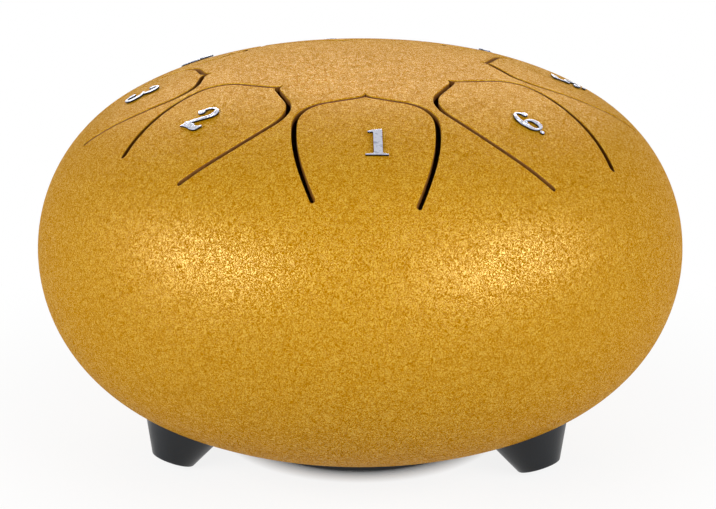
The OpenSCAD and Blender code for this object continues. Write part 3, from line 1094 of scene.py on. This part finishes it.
@dataclass
class PlanSheet:
    """A sheet of the upper half over a plan area, with its cut edges rounded by the coat."""

    profile: BodyProfile
    edge_round: float = 0.24
    # Rows of the grid stand closer than its points by this share, which makes its triangles even
    grid: float = 1.75
    row_share: float = 0.866
    # Grid points that are nearer to an outline than this share of the grid are left out
    clear_share: float = 0.62
    snap: float = 1e-7
    # Degrees at which the rounding has points, on the outside and on the inside
    outer_turns: tuple[int, ...] = (30, 60, 90)
    inner_turns: tuple[int, ...] = (90, 45)
    # The rounded edge takes the outside's finish, and the wall below it the inside's, whose darker
    # colour is painted shade
    painted: int = 3

    def lattice(self, low: np.ndarray, high: np.ndarray) -> np.ndarray:
        """Lays out a triangular grid over a box.

        Args:
            low: The box's lowest corner.
            high: Its highest corner.

        Returns:
            The grid's points.
        """
        first, last = (
            math.floor(low[1] / self.grid / self.row_share),
            math.ceil(high[1] / self.grid / self.row_share),
        )
        columns = np.arange(math.floor(low[0] / self.grid) - 1, math.ceil(high[0] / self.grid) + 1)
        out = []
        for j in range(first, last + 1):
            x = columns * self.grid + (j % 2) * self.grid / 2
            out.append(np.stack([x, np.full(len(x), j * self.grid * self.row_share)], 1))
        return np.concatenate(out)

    def triangles(self, loops: list[np.ndarray]) -> tuple[np.ndarray, list[tuple[int, int, int]]]:
        """Fills the area within the first loop and outside the others.

        Args:
            loops: The outlines; each point keeps its number, counted through the loops.

        Returns:
            All plan points, the loops' first, and the triangles, counter-clockwise.
        """
        fixed = np.concatenate(loops)
        grid = self.lattice(fixed.min(0), fixed.max(0))
        grid = grid[within(grid, loops)]
        near = (self.clear_share * self.grid) ** 2
        far = [bool(np.min(np.sum((fixed - g) ** 2, 1)) > near) for g in grid]
        points = np.concatenate([fixed, grid[far]])
        edges, start = [], 0
        for loop in loops:
            n = len(loop)
            edges += [(start + i, start + (i + 1) % n) for i in range(n)]
            start += n
        verts, _, faces, origin, _, _ = delaunay_2d_cdt(
            [Vector(p) for p in points], edges, [], 0, self.snap
        )
        places = np.array([v[:] for v in verts])
        middles = np.array([places[list(f)].mean(0) for f in faces])
        out = []
        for f, good in zip(faces, within(middles, loops)):
            if good:
                a, b, c = (origin[i][0] for i in f)
                area = np.cross(points[b] - points[a], points[c] - points[a])
                out.append((a, b, c) if area > 0 else (a, c, b))
        return points, out

    def loop(self, cut: Edge, chord: np.ndarray) -> np.ndarray:
        """Returns a cut's outline behind its rounding, closed by points on the bending line."""
        return np.concatenate([cut.points + cut.into * self.edge_round, chord])

    def lift(
        self, draft: Draft, plan: np.ndarray, tris: list[tuple[int, int, int]]
    ) -> tuple[np.ndarray, np.ndarray]:
        """Adds the outside and the inside of the sheet.

        Args:
            draft: The draft to add to.
            plan: Plan points.
            tris: Triangles between them, counter-clockwise.

        Returns:
            The numbers of the outside's points and of the inside's.
        """
        top = draft.add(*self.profile.over(plan))
        places, normals = self.profile.over(plan, self.profile.wall)
        low = draft.add(places, -normals)
        for a, b, c in tris:
            draft.face([top[a], top[b], top[c]], Side.OUTSIDE)
            draft.face([low[a], low[c], low[b]], Side.INSIDE)
        return top, low

    def stack(
        self, draft: Draft, point: np.ndarray, into: np.ndarray, top: int, low: int
    ) -> list[int]:
        """Adds the points of a cut edge between the outside and the inside.

        Args:
            draft: The draft to add to.
            point: Plan point on the cut.
            into: Direction into the metal, longer than 1 at a mitred corner.
            top: Number of the outside's point.
            low: Number of the inside's point.

        Returns:
            The numbers from the outside to the inside.
        """
        out = [top]
        unit = np.append(into / np.linalg.norm(into), 0.0)
        faces = ((0.0, -1, self.outer_turns), (self.profile.wall, 1, self.inner_turns))
        for depth, sign, degrees in faces:
            for t in map(math.radians, degrees):
                plan = point + into * self.edge_round * (1 - math.sin(t))
                place, normal = self.profile.over(plan[None], depth)
                place[0][2] += sign * self.edge_round * (1 - math.cos(t))
                bent = -unit * math.sin(t) - sign * normal[0] * math.cos(t)
                out.append(int(draft.add(place, bent / np.linalg.norm(bent))[0]))
        return out + [low]

    def walls(
        self, draft: Draft, cut: Edge, top: np.ndarray, low: np.ndarray, flip: bool
    ) -> None:
        """Adds the rounded walls of a cut, and the plain wall along the bending line.

        Args:
            draft: The draft to add to.
            cut: The cut, in the drum's frame.
            top: Numbers of the outside's points along the cut and then the bending line.
            low: Numbers of the inside's points.
            flip: True if the metal lies to the left of the cut.
        """
        stacks = [[int(t), int(w)] for t, w in zip(top, low)]
        for i, (point, into) in enumerate(zip(cut.points, cut.into)):
            stacks[i] = self.stack(draft, point, into, *stacks[i])
        for a, b in zip(stacks, stacks[1:] + stacks[:1]):
            if len(a) == len(b) > 2:
                for j in range(len(a) - 1):
                    quad = [a[j], b[j], b[j + 1], a[j + 1]]
                    # Below the rounded edge the wall takes the inside's painted shade
                    side = Side.OUTSIDE if j < self.painted else Side.INSIDE
                    draft.face(quad[::-1] if flip else quad, side)
            else:
                wall = a + b[::-1]
                draft.face(wall if flip else wall[::-1], Side.INSIDE)


@dataclass
class UpperShell:
    """The upper half shell with its eight slotted openings."""

    profile: BodyProfile
    sheet: PlanSheet
    # The slotted area ends at this radius, and the rest is turned
    join_r: float = 67.0
    around: int = 256
    rows: int = 20

    def build(self, paint: bpy.types.Material, dark: bpy.types.Material) -> None:
        """Builds the shell.

        Args:
            paint: Finish of the outside.
            dark: Finish of the inside.
        """
        draft, sheet, turn = Draft(), self.sheet, turns(self.around)
        cuts = [shape.laid(shape.opening()) for shape in TONGUES]
        loops = [circle(turn, self.join_r, 0.0)[:, :2]]
        for shape, cut in zip(TONGUES, cuts):
            loops.append(sheet.loop(cut, shape.places(shape.chord(sheet.edge_round))))
        top, low = sheet.lift(draft, *sheet.triangles(loops))
        start = self.around
        for cut, loop in zip(cuts, loops[1:]):
            ids = slice(start, start + len(loop))
            sheet.walls(draft, cut, top[ids], low[ids], flip=False)
            start += len(loop)
        self.skirt(draft, turn, top[: self.around], low[: self.around])
        piece = draft.make("upper_shell_skin", [paint, dark])
        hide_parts("upper_shell")
        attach(piece, "drum")

    def skirt(self, draft: Draft, turn: np.ndarray, top: np.ndarray, low: np.ndarray) -> None:
        """Adds the turned part below the slotted area, down to the weld.

        Args:
            draft: The draft to add to.
            turn: Angles of the rings' points.
            top: The outside's first ring.
            low: The inside's first ring.
        """
        profile, rim = self.profile, self.profile.rim
        outer, inner = [top], [low]
        for rings, last, depth in (
            (outer, profile.weld_lean, 0.0), (inner, math.pi / 2, profile.wall)
        ):
            first = math.asin((self.join_r - rim.x) / (rim.r - depth))
            for lean in np.linspace(first, last, self.rows)[1:]:
                rings.append(profile.ring(draft, turn, lean, depth))
        groove = profile.groove(draft, turn)
        for a, b in zip(outer, outer[1:]):
            draft.strip(b, a, Side.OUTSIDE)
        for a, b in zip(inner, inner[1:]):
            draft.strip(a, b, Side.INSIDE)
        draft.strip(groove, outer[-1], Side.OUTSIDE)
        draft.strip(inner[-1], groove, Side.OUTSIDE)


def softened(node: str, voxel: float, passes: int) -> bpy.types.Object:
    """Copies a CAD node and rounds all its edges.

    Args:
        node: The CAD node's name.
        voxel: Size of the remeshing grid.
        passes: How often the grid is smoothed.

    Returns:
        The new piece, still without a material.
    """
    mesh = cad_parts[node].data.copy()
    mesh.materials.clear()
    middle = np.mean([v.co[:] for v in mesh.vertices], axis=0)
    # The grid is too fine for metres, so the mesh is in millimetres while it is made
    shift = Matrix.Scale(1 / MM, 4) @ Matrix.Translation(-Vector(middle))
    mesh.transform(shift)
    rough = added(node + "_rough", mesh)
    remesh = rough.modifiers.new("grid", "REMESH")
    remesh.mode = "VOXEL"
    remesh.voxel_size = voxel
    smooth = rough.modifiers.new("round", "SMOOTH")
    smooth.iterations = passes
    graph = bpy.context.evaluated_depsgraph_get()
    fine = bpy.data.meshes.new_from_object(rough.evaluated_get(graph))
    bpy.data.objects.remove(rough)
    fine.transform(shift.inverted())
    fine.polygons.foreach_set("use_smooth", [True] * len(fine.polygons))
    piece = added(node + "_plated", fine)
    log.info("%s: %d faces", piece.name, len(fine.polygons))
    return piece


@dataclass
class Tongue:
    """One tongue with its numeral, and its octave dot where it has one."""

    shape: TongueShape
    profile: BodyProfile
    sheet: PlanSheet
    blend_l: float = 3.0
    # The plated moulding's edges are rounded by about 0.15 mm
    chrome_voxel: float = 0.085
    chrome_passes: int = 5

    def build(self, paint: bpy.types.Material, dark: bpy.types.Material) -> None:
        """Builds the tongue's skin, which joins the shell along its bending line.

        Args:
            paint: Finish of the outside.
            dark: Finish of the inside.
        """
        draft, shape, sheet = Draft(), self.shape, self.sheet
        left = shape.inner_edge()
        right = left.mirrored()
        cut = shape.laid(Edge.joined([left, Edge(right.points[1:], right.into[1:])]))
        loop = sheet.loop(cut, shape.places(shape.chord(sheet.edge_round)))
        top, low = sheet.lift(draft, *sheet.triangles([loop]))
        n = len(loop)
        sheet.walls(draft, cut, top[:n], low[:n], flip=True)
        piece = draft.make("tongue_" + shape.name + "_skin", [paint, dark])
        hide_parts("tongue_" + shape.name)
        start = shape.places(np.array((shape.bend_x, 0.0)))
        end = shape.places(np.array((shape.bend_x - self.blend_l, 0.0)))
        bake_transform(piece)

    def dress(self, chrome: bpy.types.Material) -> None:
        """Adds the plated numeral and dot, with the rounded edges of their moulding.

        Args:
            chrome: Their finish.
        """
        for kind in ("numeral", "dot") if self.shape.dot else ("numeral",):
            node = kind + "_" + self.shape.name
            piece = softened(node, self.chrome_voxel, self.chrome_passes)
            piece.data.materials.append(chrome)
            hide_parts(node)
            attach(piece, self.shape.body)


@dataclass
class LowerShell:
    """The lower half shell with its sound hole, and the weld that joins the halves."""

    profile: BodyProfile
    hole_d: float = 50.0
    around: int = 256
    outer_rows: int = 64
    inner_rows: int = 60
    weld_rows: int = 3

    def hole_lean(self, depth: float) -> float:
        """Finds the lean of the surface at the sound hole's edge.

        Args:
            depth: Depth under the outside.

        Returns:
            The lean.
        """
        for arc in self.profile.arcs():
            lean = math.asin((self.hole_d / 2 - arc.x) / (arc.r - depth))
            if lean <= arc.last:
                break
        return lean

    def build(self, paint: bpy.types.Material, dark: bpy.types.Material) -> None:
        """Builds the shell and the weld.

        Args:
            paint: Finish of the outside.
            dark: Finish of the inside.
        """
        draft, profile, turn = Draft(), self.profile, turns(self.around)
        rings: list[tuple[np.ndarray, Side]] = []
        for lean in np.linspace(profile.weld_lean, self.hole_lean(0.0), self.outer_rows):
            rings.append((profile.ring(draft, turn, lean, half=-1), Side.OUTSIDE))
        for lean in np.linspace(self.hole_lean(profile.wall), math.pi / 2, self.inner_rows):
            rings.append((profile.ring(draft, turn, lean, profile.wall, -1), Side.INSIDE))
        rings.append((profile.groove(draft, turn), Side.OUTSIDE))
        for (a, _), (b, side) in zip(rings, rings[1:] + rings[:1]):
            draft.strip(b, a, side)
        piece = draft.make("lower_shell_skin", [paint, dark])
        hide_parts("lower_shell")
        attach(piece, "drum")
        self.weld_band(turn, paint)

    def weld_band(self, turn: np.ndarray, paint: bpy.types.Material) -> None:
        """Adds the weld, ground flush and painted over.

        Args:
            turn: Angles of the rings' points.
            paint: The finish.
        """
        draft, profile = Draft(), self.profile
        leans = np.linspace(profile.weld_lean, math.pi / 2, self.weld_rows)
        rings = [profile.ring(draft, turn, lean) for lean in leans]
        rings += [profile.ring(draft, turn, lean, half=-1) for lean in leans[-2::-1]]
        rings.append(profile.groove(draft, turn))
        for a, b in zip(rings, rings[1:] + rings[:1]):
            draft.strip(b, a, Side.OUTSIDE)
        piece = draft.make("seam_weld_band", [paint])
        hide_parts("seam_weld")
        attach(piece, "drum")


@dataclass
class SoundHoleRing:
    """The rubber grommet in the sound hole."""

    profile: BodyProfile
    hole_d: float = 50.0
    throat_d: float = 45.0
    flange_d: float = 61.2
    lip_d: float = 55.0
    drop: float = 2.4
    lip_t: float = 1.6
    round_r: float = 0.8
    lip_round: float = 0.5
    seat_round: float = 0.15
    seat_gap: float = 0.05
    seat_n: int = 7
    around: int = 160

    def height(self, r: float, depth: float) -> float:
        """Returns the shell's distance from the equator at a radius and a depth."""
        place, _ = self.profile.over(np.array([[r, 0.0]]), depth)
        return float(place[0][2]) - self.profile.equator_h

    def build(self, rubber: bpy.types.Material) -> None:
        """Builds the ring, seated on both faces of the shell.

        Args:
            rubber: Its finish.
        """
        wall, gap = self.profile.wall, self.seat_gap
        inner, outer, lip = self.throat_d / 2, self.flange_d / 2, self.lip_d / 2
        groove = self.hole_d / 2 - gap
        low = self.profile.crown_h + self.drop
        seat = self.height(lip, wall)
        corners = [
            (inner, seat - self.lip_t, self.round_r),
            (lip, seat - self.lip_t, self.lip_round),
            (lip, seat - gap, self.seat_round),
            (groove, self.height(groove, wall) - gap, 0.0),
        ]
        for r in np.linspace(groove, outer, self.seat_n).tolist():
            corners.append((r, self.height(r, 0.0) + gap, 0.0))
        corners += [(outer, low, self.round_r), (inner, low, self.round_r)]
        draft = Draft()
        draft.lathe([(r, self.profile.equator_h - z) for r, z in rounded(corners)], self.around)
        piece = draft.make("sound_hole_grommet", [rubber], own_normals=False)
        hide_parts("sound_hole_ring")
        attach(piece, "drum")


@dataclass
class Foot:
    """One moulded foot with its screw, washers and nut."""

    name: str
    place: float
    profile: BodyProfile
    turn: float = -2.6
    pitch_r: float = 46.3992
    lean: float = math.radians(21.0288)
    seat_h: float = 38.2511
    top_d: float = 18.8
    end_d: float = 10.0
    height: float = 8.6
    sink: float = 1.1
    end_round: float = 0.55
    recess: float = 3.6
    recess_d: float = 6.6
    recess_round: float = 0.25
    floor_round: float = 0.15
    bore_d: float = 3.3
    cell: float = 0.9
    around: int = 96

    def matrix(self) -> Matrix:
        """Returns the foot's own frame, whose Z axis points out of the shell."""
        return (
            Matrix.Translation((0, 0, self.profile.equator_h))
            @ Matrix.Rotation(math.radians(self.place + self.turn - 90), 4, "Z")
            @ Matrix.Translation((self.pitch_r, 0, -self.seat_h))
            @ Matrix.Rotation(math.pi - self.lean, 4, "Y")
        )

    def section(self) -> list[tuple[float, float]]:
        """Lays out the foot's section, with points no further apart than about a cell.

        Returns:
            Radius and height of each point.
        """
        slope = (self.top_d - self.end_d) / 2 / self.height
        bore, recess = self.bore_d / 2, self.recess_d / 2
        floor = self.height - self.recess
        points = rounded([
            (bore, -self.sink, 0.0),
            (self.top_d / 2 + slope * self.sink, -self.sink, 0.0),
            (self.end_d / 2, self.height, self.end_round),
            (recess, self.height, self.recess_round),
            (recess, floor, self.floor_round),
            (bore, floor, 0.0),
        ])
        out: list[tuple[float, float]] = []
        for a, b in zip(points, points[1:] + points[:1]):
            n = max(1, int(math.dist(a, b) / self.cell))
            out += [(a[0] + (b[0] - a[0]) * j / n, a[1] + (b[1] - a[1]) * j / n) for j in range(n)]
        return out

    def build(self, rubber: bpy.types.Material) -> None:
        """Builds the foot, cut flat where it stands on the ground.

        Args:
            rubber: Its finish.
        """
        draft, matrix = Draft(), self.matrix()
        draft.lathe(self.section(), self.around)
        draft.points = [np.array([(matrix @ Vector(p))[:] for p in ring]) for ring in draft.points]
        for ring in draft.points:
            ring[:, 2] = np.maximum(ring[:, 2], 0.0)
        piece = draft.make("foot_" + self.name + "_moulded", [rubber], own_normals=False)
        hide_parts("foot_" + self.name)
        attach(piece, "drum")

    def dress(self, zinc: bpy.types.Material) -> None:
        """Gives the fasteners their plated finish.

        Args:
            zinc: The finish.
        """
        for kind in ("foot_washer", "foot_screw", "inner_washer", "foot_nut"):
            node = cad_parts[kind + "_" + self.name]
            node.data.materials.clear()
            node.data.materials.append(zinc)
            log.info("%s dressed", node.name)


@dataclass(frozen=True)
class SoftBox:
    """A soft studio lamp on a sphere round the drum: angles in degrees, lengths in metres."""

    name: str
    azimuth: float
    elevation: float
    distance: float
    width: float
    height: float
    radiance: float

    def build(self, target: Vector) -> None:
        """Places the lamp and aims it at a point.

        Args:
            target: The point, in metres.
        """
        a, e = math.radians(self.azimuth), math.radians(self.elevation)
        way = Vector((math.sin(a) * math.cos(e), -math.cos(a) * math.cos(e), math.sin(e)))
        data = bpy.data.lights.new(self.name, "AREA")
        data.shape = "RECTANGLE"
        data.size, data.size_y = self.width, self.height
        data.energy = self.radiance * math.pi * self.width * self.height
        lamp = added(self.name, data)
        lamp.location = target + way * self.distance
        lamp.rotation_euler = way.to_track_quat("Z", "Y").to_euler()


@dataclass
class Studio:
    """Floor, lamps, world and camera."""

    target_h: float = 47.5298
    distance: float = 557.2
    elevation: float = math.radians(17.54)
    lens: float = 117.78
    sensor: float = 36.0
    shift_right_px: float = 2.19
    shift_up_px: float = 12.87
    clip_m: tuple[float, float] = (0.01, 50.0)
    ambient: float = 0.22
    paper: str = "#EDEDED"
    floor_size_m: float = 8.0
    floor_n: int = 9
    # The floor glows white but for a faint shadow that fades between these radii
    shadow_glow: float = 0.86
    shadow_mm: tuple[float, float] = (60.0, 150.0)
    # Below the sound hole it doesn't glow, so that the slots stay dark when seen from above
    hole_mm: tuple[float, float] = (27.0, 34.0)
    lamps: tuple[SoftBox, ...] = (
        SoftBox("soft_box_left", -53, 26, 1.1, 0.9, 0.46, 7.8),
        SoftBox("soft_box_right", 56, 24, 1.1, 0.9, 0.46, 7.8),
        SoftBox("soft_box_back", 180, 24, 1.4, 1.3, 0.5, 5.0),
    )

    def build(self) -> None:
        """Builds the studio."""
        target = Vector((0, 0, self.target_h * MM))
        for lamp in self.lamps:
            lamp.build(target)
        self.world()
        self.floor()
        self.camera(target)
        bpy.context.scene.view_settings.view_transform = "Standard"

    def seen(self, tree: bpy.types.NodeTree) -> bpy.types.NodeSocket:
        """Picks the rays that show the background: camera, glossy and transmission rays.

        Args:
            tree: The node tree to add to.

        Returns:
            1 for such a ray, and 0 for light.
        """
        path = put(tree, "LightPath").outputs
        either = put(
            tree, "Math", {0: path["Is Camera Ray"], 1: path["Is Glossy Ray"]},
            operation="MAXIMUM",
        ).outputs[0]
        return put(
            tree, "Math", {0: either, 1: path["Is Transmission Ray"]}, operation="MAXIMUM"
        ).outputs[0]

    def world(self) -> None:
        """Makes the world: white to look at, dimmer as light."""
        world = bpy.data.worlds.new("studio_world")
        bpy.context.scene.world = world
        world.use_nodes = True
        tree = world.node_tree
        tree.nodes.clear()
        light, white = (
            put(tree, "Background", {"Color": WHITE, "Strength": strength}).outputs[0]
            for strength in (self.ambient, 1.0)
        )
        mix = put(tree, "MixShader", {0: self.seen(tree), 1: light, 2: white})
        put(tree, "OutputWorld", {"Surface": mix.outputs[0]})

    def paper_floor(self) -> bpy.types.Material:
        """Makes the material of the white paper, which glows for the rays that show it.

        Returns:
            The material.
        """
        material, tree = blank_material("white_paper_floor")
        paper = put(tree, "BsdfDiffuse", {"Color": linear(self.paper)})
        glow = put(tree, "Emission", {"Color": WHITE, "Strength": 1.0})
        place = put(tree, "TexCoord").outputs["Object"]
        away = put(tree, "VectorMath", {0: place}, operation="LENGTH").outputs["Value"]
        lit = put(
            tree, "MapRange",
            {
                "Value": away, "From Min": self.shadow_mm[0] * MM,
                "From Max": self.shadow_mm[1] * MM, "To Min": self.shadow_glow,
            },
            interpolation_type="SMOOTHSTEP",
        ).outputs["Result"]
        clear = put(
            tree, "MapRange",
            {"Value": away, "From Min": self.hole_mm[0] * MM, "From Max": self.hole_mm[1] * MM},
        ).outputs["Result"]
        lit = put(tree, "Math", {0: lit, 1: clear}, operation="MULTIPLY").outputs[0]
        share = put(tree, "Math", {0: self.seen(tree), 1: lit}, operation="MULTIPLY").outputs[0]
        mix = put(tree, "MixShader", {0: share, 1: paper.outputs[0], 2: glow.outputs[0]})
        put(tree, "OutputMaterial", {"Surface": mix.outputs[0]})
        return material

    def floor(self) -> None:
        """Makes the pale floor, which keeps the drum's shadow."""
        n, half = self.floor_n, self.floor_size_m / 2
        steps = np.linspace(-half, half, n).tolist()
        points = [(x, y, 0.0) for y in steps for x in steps]
        corners = [j * n + i for j in range(n - 1) for i in range(n - 1)]
        mesh = bpy.data.meshes.new("studio_floor")
        mesh.from_pydata(points, [], [(c, c + 1, c + n + 1, c + n) for c in corners])
        mesh.materials.append(self.paper_floor())
        floor = added("studio_floor", mesh)

    def camera(self, target: Vector) -> None:
        """Places the camera at the photograph's viewing angle.

        Args:
            target: The point that it looks at, in metres.
        """
        data = bpy.data.cameras.new("photo_camera")
        data.lens, data.sensor_width = self.lens, self.sensor
        data.shift_x = -self.shift_right_px / IMAGE_W
        data.shift_y = -self.shift_up_px / IMAGE_W
        data.clip_start, data.clip_end = self.clip_m
        camera = added("photo_camera", data)
        way = Vector((0, -math.cos(self.elevation), math.sin(self.elevation)))
        camera.location = target + way * self.distance * MM
        camera.rotation_euler = way.to_track_quat("Z", "Y").to_euler()
        bpy.context.scene.camera = camera


FEET = (("left", -60.0), ("right", 60.0), ("rear", 180.0))


def main() -> None:
    """Builds the drum and its studio."""
    logging.basicConfig(level=logging.INFO, format="%(name)s %(message)s")
    paint, dark = WrinkleCoat().material(), ShadedCoat().material()
    chrome, rubber = ChromePlate().material(), MouldedRubber().material()
    zinc = ZincPlate().material()
    profile = BodyProfile()
    sheet = PlanSheet(profile)
    UpperShell(profile, sheet).build(paint, dark)
    for shape in TONGUES:
        tongue = Tongue(shape, profile, sheet)
        tongue.build(paint, dark)
        tongue.dress(chrome)
    LowerShell(profile).build(paint, dark)
    SoundHoleRing(profile).build(rubber)
    for name, place in FEET:
        foot = Foot(name, place, profile)
        foot.build(rubber)
        foot.dress(zinc)
    Studio().build()


if __name__ == "__main__":
    main()
